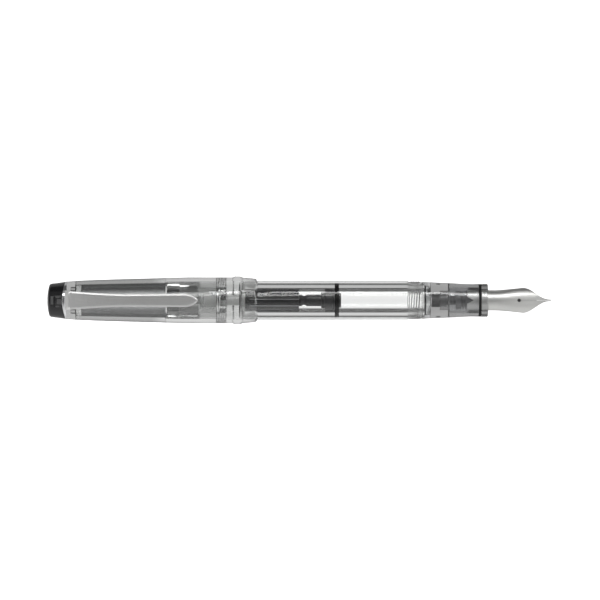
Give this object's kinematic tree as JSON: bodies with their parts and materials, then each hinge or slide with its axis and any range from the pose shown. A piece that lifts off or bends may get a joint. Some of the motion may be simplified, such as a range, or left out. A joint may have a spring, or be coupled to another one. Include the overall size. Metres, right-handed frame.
{
  "type": "fountain pen",
  "caption": "Clear-bodied piston-filling fountain pen with a steel nib, a turning filler knob, a spring clip and its cap posted on the tail.",
  "frame": {"origin": "on the pen's axis at the front end of the barrel's plain wall, where the cap thread starts", "axes": "+X along the pen's axis towards the nib's tip, +Z towards the clip and the nib's top face, +Y to the left of a writer who looks along the nib"},
  "size_m": [0.1511, 0.0144, 0.0158],
  "materials": {
    "clear_resin": "polished clear acrylic",
    "smoke_resin": "polished clear acrylic, slightly smoky",
    "black_resin": "polished black resin",
    "black_plastic": "moulded black plastic, satin",
    "black_rubber": "black rubber, satin",
    "seal_plastic": "black sealing plastic, smooth",
    "nib_steel": "satin stainless steel",
    "clip_steel": "satin plated steel with bright edges",
    "chrome": "bright chrome plate",
    "screw_steel": "turned steel"
  },
  "bodies": {
    "barrel": {"barrel": "clear_resin", "section": "smoke_resin", "section_seal": "black_rubber", "nib_collar": "smoke_resin", "front_seal": "black_rubber", "nib": "nib_steel", "tipping": "nib_steel", "feed": "black_plastic", "guide_sleeve": "black_plastic", "mechanism_collar": "clear_resin", "lock_ring": "black_plastic", "rear_seal": "black_rubber"},
    "knob": {"knob": "clear_resin", "knob_plug": "black_resin", "spindle": "black_plastic", "knob_ring": "screw_steel"},
    "piston": {"piston_rod": "black_plastic", "piston_head": "seal_plastic", "piston_seal": "seal_plastic", "seal_screw": "black_plastic"},
    "cap": {"cap_shell": "clear_resin", "inner_cap": "smoke_resin", "crown": "black_resin", "crown_screw": "screw_steel", "clip_ring": "chrome"},
    "clip": {"clip": "clip_steel"}
  },
  "joints": [
    {"name": "knob_turn", "type": "hinge", "parent": "barrel", "child": "knob", "pos_m": [-0.0635, 0, 0], "axis": [-1, 0, 0], "range_deg": [-390.5, 1200.5]},
    {"name": "piston_slide", "type": "slide", "parent": "barrel", "child": "piston", "axis": [1, 0, 0], "range_m": [-0.0065, 0.02]},
    {"name": "cap_slide", "type": "slide", "parent": "barrel", "child": "cap", "axis": [-1, 0, 0], "range_m": [0, 0.035]},
    {"name": "clip_flex", "type": "hinge", "parent": "cap", "child": "clip", "pos_m": [-0.1024, 0, 0.0061], "axis": [0, -1, 0], "range_deg": [0, 4], "stiffness_Nm_per_rad": 0.3}
  ],
  "couplings": [
    {"joint": "knob_turn", "follows": "piston_slide", "rad_per_m": 1047.2}
  ]
}
